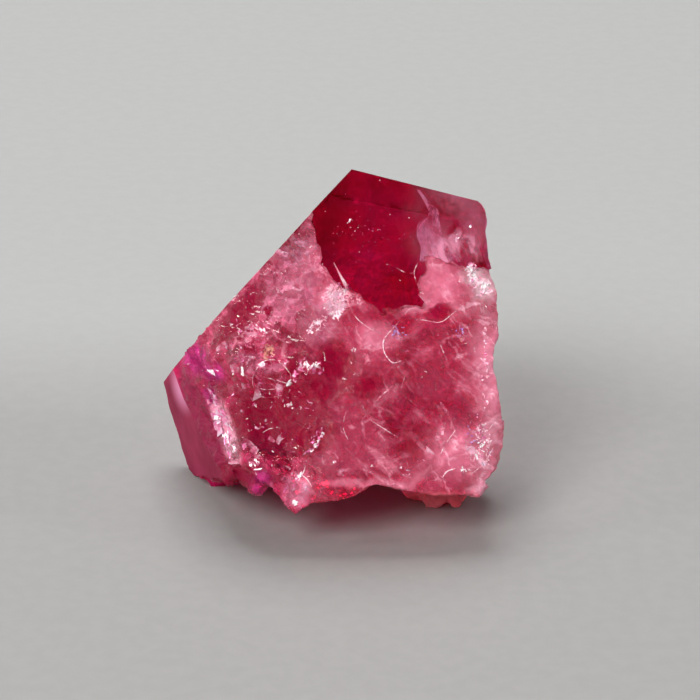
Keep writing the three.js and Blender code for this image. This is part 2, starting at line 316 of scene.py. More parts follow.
# Flat pieces of open crack that stand in the glass, larger and clearer than the flakes.
CRACK_PLATES = (
    ((-1.35, 1.0, 0.6, 0.35, 0), 9, 0.4),
    ((-1.6, 2.6, 0.7, 0.3, 0), 8, 0.5),
    ((-1.9, 3.3, 0.6, 0.6, -40), 12, 0.5),
    ((-2.47, 1.42, 0.14, 0.8, 20), 12, 0.6, -68),
    ((-0.9, 0.3, 0.35, 0.4, 0), 6, 0.35),
    ((0.12, 4.42, 0.2, 0.25, 0), 14, 0.34),
    ((2.9, 1.3, 0.8, 0.7, 0), 8, 0.4, -60),
)
# Lines on the front, each through a few places: right and up, in millimetres.
THICK_THREADS = (
    (
        (2.05, 4.25), (1.85, 4.2), (1.6, 3.9), (1.3, 3.55),
        (1.27, 3.3), (1.36, 3.1), (1.5, 2.98), (1.68, 3.03),
    ),
    ((-0.15, 1.38), (-0.25, 1.15), (-0.42, 0.85), (-0.54, 0.66)),
    ((-0.75, 0.3), (-0.6, 0.42), (-0.52, 0.7)),
    ((-0.64, 0.38), (-0.5, 0.26), (-0.4, 0.1)),
    ((2.95, 1.42), (2.72, 1.1), (2.55, 0.8), (2.3, 0.72)),
    ((3.95, 1.7), (3.72, 1.4), (3.68, 1.05), (3.46, 0.9), (3.36, 0.65)),
    ((2.95, 0.52), (2.75, 0.45), (2.62, 0.28)),
)
THIN_THREADS = (
    ((0.42, 4.45), (0.55, 4.15), (0.75, 3.92), (1.05, 3.72)),
    ((1.85, 4.02), (2.25, 3.97), (2.6, 3.93), (2.88, 4.12), (3.02, 4.24)),
    ((1.5, 2.45), (1.2, 2.2), (1.02, 1.98)),
    ((0.4, 1.85), (0.33, 1.5), (0.45, 1.18)),
    ((0.78, 2.0), (0.92, 1.7), (1.28, 1.45), (1.6, 1.25)),
    ((2.6, 3.4), (2.75, 3.05), (2.95, 2.75)),
    ((1.77, 2.7), (1.64, 2.3), (1.42, 2.0)),
    ((-1.55, 1.35), (-1.35, 1.45), (-1.12, 1.4), (-1.14, 1.26)),
    ((-1.72, 2.45), (-1.5, 2.36), (-1.1, 2.4), (-0.95, 2.5)),
    ((1.34, 5.28), (1.52, 5.23), (1.76, 5.1), (1.98, 5.07)),
    ((2.08, 5.32), (1.99, 5.1), (2.06, 4.83), (2.2, 4.62)),
    ((3.76, 1.1), (3.66, 0.78), (3.76, 0.5)),
    ((-1.72, 2.26), (-1.77, 2.63), (-1.54, 3.0), (-1.17, 3.02), (-0.89, 2.72)),
    ((-0.89, 2.72), (-0.93, 2.31), (-1.4, 2.17), (-1.72, 2.26)),
    ((-1.68, 2.68), (-1.3, 2.6), (-0.93, 2.49)),
    ((3.35, 1.7), (3.18, 1.3), (3.22, 0.85)),
    ((3.62, 1.95), (3.5, 1.5), (3.34, 1.1), (3.3, 0.7)),
    ((3.85, 1.05), (3.62, 0.65), (3.3, 0.38)),
    ((2.85, 1.6), (2.98, 1.15), (2.8, 0.8)),
)
# The left and right borders of the crack curtain, from its top down.
CURTAIN_LEFT = (
    (2.06, 7.05), (2.24, 6.76), (2.34, 6.48), (2.1, 6.25), (2.06, 5.95), (2.15, 5.69), (2.12, 5.36),
)
CURTAIN_RIGHT = (
    (2.13, 7.05), (2.36, 6.76), (2.57, 6.57), (2.62, 6.25), (2.68, 5.95), (2.82, 5.69), (3.1, 5.36),
)


def natural_normals():
    """Outward directions of the prism's natural side faces and its end face, in the row frame."""
    axis = Vector((
        math.sin(AXIS_LEAN) * math.cos(AXIS_HEADING),
        -math.cos(AXIS_LEAN),
        math.sin(AXIS_LEAN) * math.sin(AXIS_HEADING),
    ))
    upper_left = Vector((-math.sin(AXIS_HEADING), 0, math.cos(AXIS_HEADING)))
    across = upper_left.cross(axis)
    sides = [
        across * math.cos(math.radians(a)) + upper_left * math.sin(math.radians(a))
        for a in SIDE_FACINGS
    ]
    return [TO_ROW @ n for n in [*sides, axis]]


# ---- Shader writing ------------------------------------------------------------------------------
class Value:
    """A node's output that can stand in a Python expression, which adds Math nodes."""

    def __init__(self, tree, out):
        self.tree = tree
        self.out = out

    def _math(self, operation, *operands):
        node = self.tree.nodes.new("ShaderNodeMath")
        node.operation = operation
        for socket, operand in zip(node.inputs, operands):
            feed(self.tree, socket, operand)
        return Value(self.tree, node.outputs[0])

    def __add__(self, other):
        return self._math("ADD", self, other)

    def __radd__(self, other):
        return self._math("ADD", other, self)

    def __sub__(self, other):
        return self._math("SUBTRACT", self, other)

    def __rsub__(self, other):
        return self._math("SUBTRACT", other, self)

    def __mul__(self, other):
        return self._math("MULTIPLY", self, other)

    def __rmul__(self, other):
        return self._math("MULTIPLY", other, self)

    def at_most(self, other):
        return self._math("MINIMUM", self, other)

    def at_least(self, other):
        return self._math("MAXIMUM", self, other)

    def step(self, low, high):
        """0 below low, 1 above high, smooth in between. low may be the higher one."""
        node = self.tree.nodes.new("ShaderNodeMapRange")
        node.interpolation_type = "SMOOTHSTEP"
        for name, value in (("Value", self), ("From Min", low), ("From Max", high)):
            feed(self.tree, node.inputs[name], value)
        return Value(self.tree, node.outputs["Result"])


def feed(tree, socket, value):
    """Sets a socket's own value, or links an output to it."""
    if isinstance(value, Value):
        tree.links.new(value.out, socket)
    else:
        socket.default_value = value


class Shading:
    """The nodes of one material or of the world."""

    def __init__(self, owner):
        owner.use_nodes = True
        self.tree = owner.node_tree
        self.tree.nodes.clear()

    def add(self, kind, settings=None, inputs=None, output=0):
        """One more node with these settings and inputs. Gives the chosen output, if it has any."""
        node = self.tree.nodes.new("ShaderNode" + kind)
        for name, value in (settings or {}).items():
            setattr(node, name, value)
        for name, value in (inputs or {}).items():
            feed(self.tree, node.inputs[name], value)
        return Value(self.tree, node.outputs[output]) if node.outputs else None

    def mix(self, factor, a, b):
        """Colour a where factor is 0 and b where it is 1."""
        colours = {0: factor, 6: a, 7: b}
        return self.add("Mix", {"data_type": "RGBA"}, colours, output=2)

    def noise(self, place, scale, detail=2.0, roughness=0.5):
        values = {"Vector": place, "Scale": scale, "Detail": detail, "Roughness": roughness}
        return self.add("TexNoise", None, values)

    def surface(self, values):
        """Ends a material with one surface shader."""
        self.add("OutputMaterial", None, {"Surface": self.add("BsdfPrincipled", None, values)})


# ---- The crystal's surface -----------------------------------------------------------------------
def front_place(point):
    """A row-frame point as (right, back, up) along the leaning front, in millimetres."""
    return (TO_ROW.transposed() @ point) / MM


def fade(value, low, high):
    """0 at low, 1 at high, smooth in between. low may be the higher one."""
    t = min(1.0, max(0.0, (value - low) / (high - low)))
    return t * t * (3 - 2 * t)


def in_oval(place, oval):
    """1 inside an oval on the front, 0 outside, as the shader's patch gives it."""
    right, up, half_width, half_height, *turn = oval
    back = Matrix.Rotation(-math.radians(turn[0] if turn else 0), 2)
    offset = back @ Vector((place.x - right, place.z - up))
    return fade(math.hypot(offset.x / half_width, offset.y / half_height), 1.3, 0.7)


def chip_cells(place):
    """The shell-shaped chips there: the dent's depth, nearness to a crest and the chip's own number."""
    spot = place / CHIP_SIZE + CHIP_SHIFT
    distances, cells = noise.voronoi(spot)
    dent = min(1.0, distances[0] ** 2 * 1.6)
    crest = fade(distances[1] - distances[0], 0.22, 0.0)
    return dent, crest, 0.5 + 0.5 * noise.cell(cells[0] * 9.7)


def facets(place, size, seed):
    """Flat tilted planes of about that size, each at its own slope, from -1 to 1."""
    spot = place / size + Vector((seed, -seed, 2 * seed))
    cell = noise.voronoi(spot)[1][0]
    slope = noise.cell_vector(cell * 7.3)
    return (spot - cell).dot(slope)


def chipping(place):
    """How sharply chipped a fracture is there: most at the lower left of the front."""
    if place.y > FRONT_DEPTH:
        return 0.6 * fade(place.z, 6.0, 4.4)
    share = 0.12 + 0.88 * fade(place.x, -0.1, -0.9)
    share = max(share, 0.7 * fade(place.x, 2.6, 3.3) * fade(place.z, 2.2, 1.2))
    return share * (1 - 0.7 * max(in_oval(place, oval) for oval in SMOOTH_PATCHES))


def relief(place):
    """How far a fracture stands out there, in millimetres, and its chips' crests and numbers."""
    warped = place + 0.15 * noise.noise_vector(place * 1.7)
    dent, crest, number = chip_cells(warped)
    sharp = CHIP_RELIEF * (dent - 0.4)
    sharp += LARGE_FACET_RELIEF * facets(warped, LARGE_FACET_SIZE, seed=7.7)
    sharp += SMALL_FACET_RELIEF * facets(warped, SMALL_FACET_SIZE, seed=1.3)
    swell = noise.fractal(place * 1.1, 0.7, 2.0, 4)
    wrinkle = 1 - abs(noise.fractal(warped * 2.6, 0.8, 2.0, 3)) * 2.5
    share = chipping(place)
    height = share * sharp + SWELL_RELIEF * swell + (1 - share) * WRINKLE_RELIEF * max(0.0, wrinkle)
    return height, crest * share, number


def cut_in_squares(bm, natural, number, normal):
    """Cuts the natural face of that number into a net of squares, so that it can carry fine marks."""
    faces = [f for f in bm.faces if f[natural] == number]
    if not faces:
        return
    along = normal.cross(Vector((0, 0, 1))).normalized()
    for direction in (along, normal.cross(along)):
        reach = [v.co.dot(direction) for f in faces for v in f.verts]
        count = int((max(reach) - min(reach)) / NATURAL_STEP)
        for k in range(1, count + 1):
            faces = [f for f in bm.faces if f[natural] == number]
            edges = [e for f in faces for e in f.edges]
            corners = [v for f in faces for v in f.verts]
            near = list(dict.fromkeys([*faces, *edges, *corners]))
            middle = direction * (min(reach) + k * NATURAL_STEP)
            bmesh.ops.bisect_plane(bm, geom=near, dist=MM * 1e-4, plane_co=middle, plane_no=direction)


def longest_edge(edge):
    """How long a fracture's edge may be there: shortest on the front."""
    middle = front_place((edge.verts[0].co + edge.verts[1].co) / 2)
    return FRONT_EDGE if middle.y < FRONT_DEPTH else BACK_EDGE


def split_long_edges(bm, natural):
    """Halves the fractures' long edges, a few times over.

    A triangle is split on none, one or all of its edges, so that every new face is a triangle too.
    """
    for _ in range(SPLIT_ROUNDS):
        chosen = {
            e for e in bm.edges
            if any(not f[natural] for f in e.link_faces) and e.calc_length() > longest_edge(e)
        }
        waiting = {f for e in chosen for f in e.link_faces}
        while waiting:
            whole = [e for e in waiting.pop().edges if e not in chosen]
            if len(whole) == 1:
                chosen.add(whole[0])
                waiting.update(whole[0].link_faces)
        edges = [e for e in bm.edges if e in chosen]
        bmesh.ops.subdivide_edges(bm, edges=edges, cuts=1, use_grid_fill=True, use_single_edge=True)


def roughen(bm, natural, normals):
    """Softens the fractures' coarse facets, then gives them their fine relief."""
    free = [
        v for v in bm.verts
        if v.co.z > GROUND_GAP and all(not f[natural] for f in v.link_faces)
    ]
    axes = dict.fromkeys(("use_axis_x", "use_axis_y", "use_axis_z"), True)
    for _ in range(SOFTENING):
        bmesh.ops.smooth_vert(bm, verts=free, factor=0.5, **axes)
    bm.normal_update()
    crest = bm.verts.layers.float.new("crest")
    number = bm.verts.layers.float.new("chip_number")
    moves = []
    for v in bm.verts:
        height, v[crest], v[number] = relief(front_place(v.co))
        if v.co.z <= GROUND_GAP:
            continue
        planes = {f[natural] for f in v.link_faces} - {0}
        if len(planes) > 1 or all(f[natural] for f in v.link_faces):
            continue
        move = v.normal * height * MM
        if planes:
            normal = normals[planes.pop() - 1]
            move = noise.noise_vector(front_place(v.co) * 3.0) * (BORDER_WANDER * MM)
            move -= normal * move.dot(normal)
        moves.append((v, move))
    for v, move in moves:
        v.co += move
        v.co.z = max(v.co.z, 0.0)


def mark_natural_faces(bm, normals):
    """Numbers the faces that lie in a natural plane, from 1, and leaves the fractures 0."""
    natural = bm.faces.layers.int.new("natural")
    for k, normal in enumerate(normals):
        alike = [f for f in bm.faces if f.normal.dot(normal) > SAME_PLANE]
        level = max(alike, key=lambda f: f.calc_area()).calc_center_median().dot(normal)
        for face in bm.faces:
            if all(abs(v.co.dot(normal) - level) < PLANE_GAP for v in face.verts):
                face[natural] = k + 1
    return natural


def crystal_body(normals):
    """The whole crystal: a fine copy of its solid, with natural faces flat and fractures rough."""
    bm = bmesh.new()
    bm.from_mesh(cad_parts["crystal"].data)
    bmesh.ops.remove_doubles(bm, verts=bm.verts, dist=MERGE)
    bmesh.ops.dissolve_degenerate(bm, dist=MERGE, edges=bm.edges)
    natural = mark_natural_faces(bm, normals)
    for k, normal in enumerate(normals):
        faces = [f for f in bm.faces if f[natural] == k + 1]
        bmesh.ops.dissolve_faces(bm, faces=faces, use_verts=False)
        cut_in_squares(bm, natural, k + 1, normal)
    bmesh.ops.triangulate(bm, faces=[f for f in bm.faces if len(f.verts) > 3])
    split_long_edges(bm, natural)
    roughen(bm, natural, normals)
    bmesh.ops.recalc_face_normals(bm, faces=bm.faces)
    mesh = bpy.data.meshes.new("crystal_body")
    bm.to_mesh(mesh)
    bm.free()
    kept = [0] * len(mesh.polygons)
    mesh.attributes["natural"].data.foreach_get("value", kept)
    mesh.set_sharp_from_angle(angle=SHARP_ANGLE)
    mesh.polygons.foreach_set("use_smooth", [k == 0 for k in kept])
    for name, number in (("broken", 0), ("etched", LEFT_FACE)):
        share = mesh.attributes.new(name, "FLOAT", "FACE")
        share.data.foreach_set("value", [float(k == number) for k in kept])
    body = bpy.data.objects.new("crystal_body", mesh)
    bpy.context.scene.collection.objects.link(body)
    return body


def ribbon_strip(bm, left, right, columns, point_at):
    """A sheet between two lines of front places, its points set by point_at(place, across, along)."""
    rows = []
    for row, (a, b) in enumerate(zip(left, right)):
        along = row / (len(left) - 1)
        shares = [k / columns for k in range(columns + 1)]
        rows.append([bm.verts.new(point_at(a.lerp(b, share), share, along)) for share in shares])
    for above, below in zip(rows, rows[1:]):
        for k in range(columns):
            bm.faces.new((above[k], above[k + 1], below[k + 1], below[k]))


def smooth_line(points, count):
    """Points evenly spread along the smooth curve through a few chosen ones."""
    line = []
    for k in range(count):
        place = k / (count - 1) * (len(points) - 1)
        i = min(int(place), len(points) - 2)
        a, b, c, d = (Vector(points[max(0, min(len(points) - 1, i + j))]) for j in (-1, 0, 1, 2))
        t = place - i
        bend, twist = 2 * a - 5 * b + 4 * c - d, 3 * b - a - 3 * c + d
        line.append(((2 * b) + (c - a) * t + bend * t**2 + twist * t**3) / 2)
    return line


def crack_curtain(find, finish):
    """The frosted crack that folds down behind the end face, from its top edge to its broken border."""
    left = smooth_line(CURTAIN_LEFT, CURTAIN_ROWS)
    right = smooth_line(CURTAIN_RIGHT, CURTAIN_ROWS)

    def fold(place, across, along):
        point, normal = find(place.x, place.y)
        depth = 0.03 + 0.04 * across + 0.05 * noise.noise(Vector((across * 6, along * 2.5, 4.0)))
        return point - normal * max(CURTAIN_LEAST_DEPTH, depth * fade(along, 0, 0.3)) * MM

    bm = bmesh.new()
    ribbon_strip(bm, left, right, CURTAIN_COLUMNS, fold)
    bmesh.ops.solidify(bm, geom=list(bm.faces), thickness=CURTAIN_THICKNESS * MM)
    bmesh.ops.recalc_face_normals(bm, faces=bm.faces)
    return finish_piece("crack_curtain", bm, finish)


def along_front(find, points, count):
    """Row-frame points on the crystal along the smooth curve through the chosen front places."""
    line = []
    for place in smooth_line(points, count):
        point, _ = find(place.x, place.y)
        if point:
            line.append(point)
    return line


def make_threads(name, find, lines, thickness, finish):
    """One mesh of thin raised threads that lie along the front and taper at both ends."""
    drawing = bpy.data.curves.new(name, "CURVE")
    drawing.dimensions = "3D"
    drawing.bevel_depth = thickness / 2 * MM
    drawing.bevel_resolution = 1
    drawing.use_fill_caps = True
    for points in lines:
        line = along_front(find, points, 8 * len(points))
        spline = drawing.splines.new("POLY")
        spline.points.add(len(line) - 1)
        for k, (spot, point) in enumerate(zip(spline.points, line)):
            spot.co = (*point, 1)
            wander = noise.noise(Vector(points[0]).to_3d() + Vector((0, 0, k * 0.9)))
            width = 0.5 + 0.5 * math.sin(math.pi * k / (len(line) - 1)) + 1.2 * wander
            spot.radius = max(THREAD_LEAST_SHARE, width)
    shape = bpy.data.objects.new(name + "_drawing", drawing)
    bm = bmesh.new()
    bm.from_mesh(shape.to_mesh())
    bpy.data.objects.remove(shape)
    bmesh.ops.remove_doubles(bm, verts=bm.verts, dist=MM * 1e-5)
    bmesh.ops.recalc_face_normals(bm, faces=bm.faces)
    return finish_piece(name, bm, finish)


def bubble_specks(find, end_normal, finish):
    """Tiny bubbles close under the end face, most of them around one spot."""
    rng = random.Random(SPECK_SEED)
    bm = bmesh.new()
    for k in range(SPECK_COUNT):
        spread = 0.35 if k < SPECK_COUNT // 2 else 0.9
        right = SPECK_RIGHT + rng.gauss(0.15, spread)
        up = SPECK_UP + rng.gauss(0, spread * 0.7)
        point, normal = find(right, up)
        if not point or normal.dot(end_normal) < SAME_FACE:
            continue
        size = rng.uniform(*SPECK_SIZES)
        place = Matrix.Translation(point + normal * rng.uniform(*SPECK_HEIGHTS) * MM)
        bmesh.ops.create_icosphere(bm, subdivisions=1, radius=size * MM, matrix=place)
    return finish_piece("bubble_specks", bm, finish)


def splinter(find, finish):
    """The thin blade of crystal that crosses the border of the end face."""
    tip = Vector((0.1, 5.3))
    foot = Vector((0.52, 4.52))
    side = Vector((0.055, 0.03))

    def lean(place, across, along):
        point, normal = find(place.x, place.y)
        return point + normal * (0.03 + 0.05 * math.sin(math.pi * across)) * MM

    steps = [(tip.lerp(foot, k / SPLINTER_ROWS), k) for k in range(SPLINTER_ROWS + 1)]
    left = [place - side * k / SPLINTER_ROWS for place, k in steps]
    right = [place + side * (0.08 + k / SPLINTER_ROWS) for place, k in steps]
    bm = bmesh.new()
    ribbon_strip(bm, left, right, 4, lean)
    bmesh.ops.solidify(bm, geom=list(bm.faces), thickness=SPLINTER_THICKNESS * MM)
    bmesh.ops.recalc_face_normals(bm, faces=bm.faces)
    return finish_piece("splinter", bm, finish)


def surface_finder(body):
    """Gives the crystal's front at a place: the point and its outward normal, in the row frame."""
    places = [v.co for v in body.data.vertices]
    tree = BVHTree.FromPolygons(places, [tuple(p.vertices) for p in body.data.polygons])

    def find(right, up):
        start = TO_ROW @ (Vector((right, -20, up)) * MM)
        point, normal, _, _ = tree.ray_cast(start, INTO_FRONT)
        return point, normal

    return find


def add_flake(bm, point, normal, size, heading, spread, rng):
    """A small curved flake of crack that lies about flat on the crystal there, along the heading."""
    up = (normal + Vector([rng.gauss(0, spread) for _ in range(3)])).normalized()
    along = (heading - up * heading.dot(up)).normalized()
    turned = Matrix((along, up.cross(along), up)).transposed()
    made = bmesh.ops.create_grid(bm, x_segments=3, y_segments=2, size=0.5)["verts"]
    stretch = rng.uniform(*FLAKE_WIDTHS)
    bend = rng.uniform(*FLAKE_BENDS)
    for v in made:
        v.co.x += rng.uniform(-0.14, 0.14)
        v.co.y = (v.co.y + rng.uniform(-0.3, 0.3)) * stretch
        v.co.z = bend * v.co.x**2 + rng.uniform(-0.03, 0.03)
        v.co = point + turned @ (v.co * size)


def make_flakes(name, find, groups, finish, seed):
    """One mesh of many flakes, in the groups of one of the tables above."""
    rng = random.Random(seed)
    bm = bmesh.new()
    for (right, up, half_width, half_height, turn), count, size, *heading in groups:
        spread = ALIKE_TILT if heading else LOOSE_TILT
        for _ in range(count):
            angle = rng.uniform(0, math.tau)
            reach = math.sqrt(rng.random())
            offset = Vector((half_width * reach * math.cos(angle), 0))
            offset.y = half_height * reach * math.sin(angle)
            offset = Matrix.Rotation(math.radians(turn), 2) @ offset
            point, normal = find(right + offset.x, up + offset.y)
            if heading:
                way = math.radians(heading[0] + rng.gauss(0, ALIKE_SCATTER))
            else:
                way = rng.uniform(0, math.tau)
            pointing = TO_ROW @ Vector((math.cos(way), 0, math.sin(way)))
            if point and normal.dot(TOWARDS_FRONT) > FACING_LIMIT:
                length = size * rng.uniform(*FLAKE_LENGTHS) * MM
                add_flake(bm, point, normal, length, pointing, spread, rng)
    bmesh.ops.solidify(bm, geom=list(bm.faces), thickness=FLAKE_THICKNESS * MM)
    bmesh.ops.recalc_face_normals(bm, faces=bm.faces)
    return finish_piece(name, bm, finish)


def finish_piece(name, bm, finish):
    """Makes a drawn shape into a piece of the crystal with that finish."""
    mesh = bpy.data.meshes.new(name)
    bm.to_mesh(mesh)
    bm.free()
    mesh.shade_smooth()
    mesh.set_sharp_from_angle(angle=SHARP_ANGLE)
    mesh.materials.append(finish)
    piece = bpy.data.objects.new(name, mesh)
    bpy.context.scene.collection.objects.link(piece)
    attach(piece, BODY)
    return piece


# ---- Finishes ------------------------------------------------------------------------------------
def front_coordinates(m):
    """Right, back and up along the leaning front, in millimetres."""
    turn_and_scale = {"Rotation": (FRONT_LEAN, 0, 0), "Scale": (1 / MM, 1 / MM, 1 / MM)}
    return m.add("Mapping", None, {"Vector": m.add("TexCoord", output=3), **turn_and_scale})


def bent(m, place, scale, amount):
    """The same place, pushed about by noise, so that patterns on it lose their straight edges."""
    push = m.add("TexNoise", None, {"Vector": place, "Scale": scale, "Detail": 3.0}, output=1)
    centred = m.add("VectorMath", {"operation": "SUBTRACT"}, {0: push, 1: (0.5, 0.5, 0.5)})
    push = m.add("VectorMath", {"operation": "SCALE"}, {0: centred, "Scale": amount})
    return m.add("VectorMath", {"operation": "ADD"}, {0: place, 1: push})


def patch(m, place, right, up, half_width, half_height, turn=0.0, edge=0.45):
    """1 inside an oval on the front, 0 outside. turn is in degrees, anticlockwise."""
    inside = m.add("Mapping", {"vector_type": "TEXTURE"}, {
        "Vector": place,
        "Location": (right, 0, up),
        "Rotation": (0, math.radians(-turn), 0),
        "Scale": (half_width, 1000.0, half_height),
    })
    reach = m.add("VectorMath", {"operation": "LENGTH"}, {0: inside}, output=1)
    return reach.step(1 + edge, 1 - edge)


def patches(m, place, ovals):
    """1 inside any of the ovals."""
    first, *others = (patch(m, place, *oval) for oval in ovals)
    for share in others:
        first = first.at_least(share)
    return first


def fibres(m, place, turn, scale):
    """Noise drawn out along one direction of the front, in degrees anticlockwise from the right."""
    drawn = m.add("Mapping", {"vector_type": "TEXTURE"}, {
        "Vector": place, "Rotation": (0, math.radians(-turn), 0), "Scale": (4.5, 1.0, 1.0),
    })
    return m.noise(drawn, 1.5 * scale, 4.0, 0.6)


def shard_light(m, place, scale):
    """A random brightness for each small glassy shard, mostly dark, with bright thin borders."""
    cell = m.add("TexVoronoi", {"feature": "F1"}, {"Vector": place, "Scale": scale}, output=1)
    share = m.add("SeparateXYZ", None, {0: cell})
    border = m.add("TexVoronoi", {"feature": "DISTANCE_TO_EDGE"}, {"Vector": place, "Scale": scale})
    return share.step(0.45, 1.0) + border.step(0.05, 0.0) * share.step(0.3, 0.6)


def end_face_tint(m, front):
    """The natural faces' glass: deepest red at the left of the end face, more magenta at its middle."""
    colour = m.mix(patches(m, front, END_MAGENTA_PATCHES), (0.95, 0.6, 1.0, 1), (1.0, 0.45, 1.3, 1))
    return m.mix(patches(m, front, END_RED_PATCHES), colour, (0.8, 0.25, 0.4, 1))


def natural_frost(m, s):
    """The natural faces' haze: dull plum at the left, where one pale streak of painted highlight runs
    down, else pink.
    """
    dull = m.mix(s.cloud.step(0.3, 0.7), (0.26, 0.006, 0.045, 1), (0.4, 0.02, 0.085, 1))
    # Painted highlight: a pale pink streak over the dull plum of the left face.
    plum = m.mix(patch(m, s.front, *HIGHLIGHT_STREAK_PATCH), dull, (1.0, 0.4, 0.65, 1))
    return m.mix(s.etched, (1.0, 0.42, 0.62, 1), plum)


def front_marks(m):
    """Places and noises on the crystal, and how strongly each kind of mark shows there, from 0 to 1."""
    s = SimpleNamespace()
    s.front = front_coordinates(m)
    s.right, s.depth, s.up = (m.add("SeparateXYZ", None, {0: s.front}, output=k) for k in range(3))
    s.facing = s.depth.step(-0.6, -1.5)
    s.loose = bent(m, s.front, 1.6, 0.5)
    s.ragged = bent(m, s.front, 4.0, 0.35)
    for name in ("broken", "etched", "crest", "chip_number"):
        setattr(s, name, m.add("Attribute", {"attribute_name": name}, output=2))
    s.cloud = m.noise(s.ragged, 0.9, 4.0, 0.55)
    s.clearing = m.noise(bent(m, s.front, 1.0, 0.6), 0.75, 3.0)
    s.grain = m.noise(s.front, 9.0, 3.0, 0.6)
    s.chipped = s.right.step(-0.1, -0.9) * s.facing
    s.behind_chips = (1 - s.facing) * s.right.step(0.4, -0.6)
    s.milky = patches(m, s.loose, MILKY_PATCHES) * s.facing
    s.pink_glass = patches(m, s.loose, PINK_PATCHES) * s.facing
    gaps = fibres(m, s.loose, 35, 1.6).step(0.25, 0.38)
    s.glassy = patches(m, s.ragged, GLASSY_PATCHES) * s.facing * gaps
    s.crushed = patches(m, s.ragged, CRUSHED_PATCHES) * s.facing
    strokes = fibres(m, s.ragged, -25, 2.0).step(0.35, 0.5) * 0.6 + 0.4
    s.magenta = patches(m, s.ragged, MAGENTA_PATCHES) * s.facing * strokes
    s.mauve = patch(m, s.ragged, *MAUVE_PATCH) * s.facing
    s.ridge = patch(m, s.front, *RIDGE_PATCH) * s.facing
    s.base = patch(m, s.front, *BASE_PATCH) * s.facing
    s.foot = patch(m, s.front, *FOOT_PATCH)
    s.strip = patch(m, s.front, *LEFT_STRIP_PATCH) * s.depth.step(-0.2, -0.9)
    border = m.add("SeparateXYZ", None, {0: bent(m, s.front, 1.1, 1.2)})
    s.rim = border.step(3.0, 3.8) * s.facing
    s.splits = (s.crest * s.facing).step(0.6, 1.0) * s.cloud.step(0.48, 0.6) * 0.35
    s.webbed = healed_web(m, s)
    return s


def healed_web(m, s):
    """Fine pale strands of healed cracks in four directions, fewer where the crystal is chipped."""
    wisps = fibres(m, bent(m, s.front, 1.2, 0.5), 35, 1.3).step(0.5, 0.72) * 0.22
    wisps = wisps + fibres(m, bent(m, s.front, 1.5, 0.5), -40, 2.2).step(0.54, 0.7) * 0.24
    hair = fibres(m, bent(m, s.front, 2.5, 0.35), -65, 4.5).step(0.56, 0.68) * 0.3
    hair = hair + fibres(m, bent(m, s.front, 2.2, 0.4), 10, 3.6).step(0.57, 0.68) * 0.3
    return (wisps + hair * s.clearing.step(0.4, 0.6)) * (1 - s.chipped * 0.7)


def front_haze(m, s):
    """How frosted the broken front is."""
    thin = s.cloud.step(0.25, 0.75) * 0.2 + s.clearing.step(0.38, 0.68) * 0.12 + 0.02
    pale = (s.milky * 0.45).at_least(s.rim * 0.35) * (s.cloud.step(0.3, 0.6) * 0.7 + 0.3)
    shards = shard_light(m, s.ragged, 2.6) * 0.22 + shard_light(m, s.front, 6.0) * 0.26
    tilted = (s.chip_number.step(0.4, 1.0) * 0.1 + shards) * s.chipped
    haze = thin * (1 - s.chipped * 0.75) + pale + s.pink_glass * 0.16
    haze = (haze + s.webbed + s.splits + tilted) * (1 - s.glassy)
    # Along the ridge, pale frosted streaks stand partly for the ridge's own fracture steps and partly
    # for painted reflection.
    haze = haze + s.ridge * fibres(m, s.ragged, 30, 2.0).step(0.45, 0.56) * 0.8
    return haze.at_least(s.foot * 0.8).at_least(s.crushed * 0.7).at_least(s.magenta * 0.6)


def frosting(m, s):
    """How much frosted crystal covers the clear glass: 0 for none, 1 for all."""
    back = (1 - s.facing) * (s.cloud.step(0.3, 0.7) * 0.3 + 0.55)
    back = back.at_least((1 - s.facing) * s.up.step(4.6, 5.6) * 0.9)
    milk = (front_haze(m, s) + back) * (s.grain * 0.4 + 0.8) * (1 - s.base * 0.8)
    milk = milk.at_least(s.strip * 0.8).at_least(s.glassy * 0.4).at_least(s.base * 0.75)
    drift = patches(m, s.loose, INNER_CLOUDS) * fibres(m, s.loose, -75, 2.0).step(0.4, 0.62) * 0.55
    drift = drift + patch(m, s.loose, *INNER_HAZE) * s.cloud.step(0.3, 0.7) * 0.3
    return milk.at_most(0.95) * s.broken + (1 - s.broken) * (s.etched * 0.9 + drift)


def frost_tint(m, s):
    """The colour of the frosted crystal: each later paint covers the earlier ones."""
    # Whiter on healed cracks, milky places, the rim and crest splits, and along the ridge as painted
    # reflection.
    white = s.webbed * 1.4 + s.milky * 0.3 + s.rim * 0.5 + s.ridge * 0.8 + s.splits
    white = (white + s.grain.step(0.62, 0.75) * 0.3).at_most(1.0)
    violet = m.mix(fibres(m, s.ragged, -25, 1.6).step(0.42, 0.62), DARK_VIOLET, HOT_VIOLET)
    colour = ROSE
    for share, paint in (
        (s.chipped * s.up.step(3.5, 2.9), RED_ROSE),
        (white, PALE_PINK),
        (s.behind_chips, BACK_CRIMSON),
        (s.crushed, CRUSHED_PINK),
        ((s.pink_glass * 0.5).at_least(s.mauve), DUSTY_PINK),
        (s.glassy, DARK_CRIMSON),
        (s.magenta, violet),
        (s.strip, PLUM),
        (s.base, BASE_RED),
        (s.foot, FOOT_RED),
    ):
        colour = m.mix(share, colour, paint)
    return m.mix(s.broken, natural_frost(m, s), colour)


def glass_tint(m, s):
    """The colour of the clear glass's surface, beside what its depth takes from the light."""
    deep = (s.chipped * 0.6).at_least(s.glassy).at_least(s.base)
    colour = m.mix(deep, CLEAR_GLASS, DEEP_GLASS)
    colour = m.mix(s.magenta, colour, MAGENTA_GLASS)
    return m.mix(s.broken, end_face_tint(m, s.front), colour)


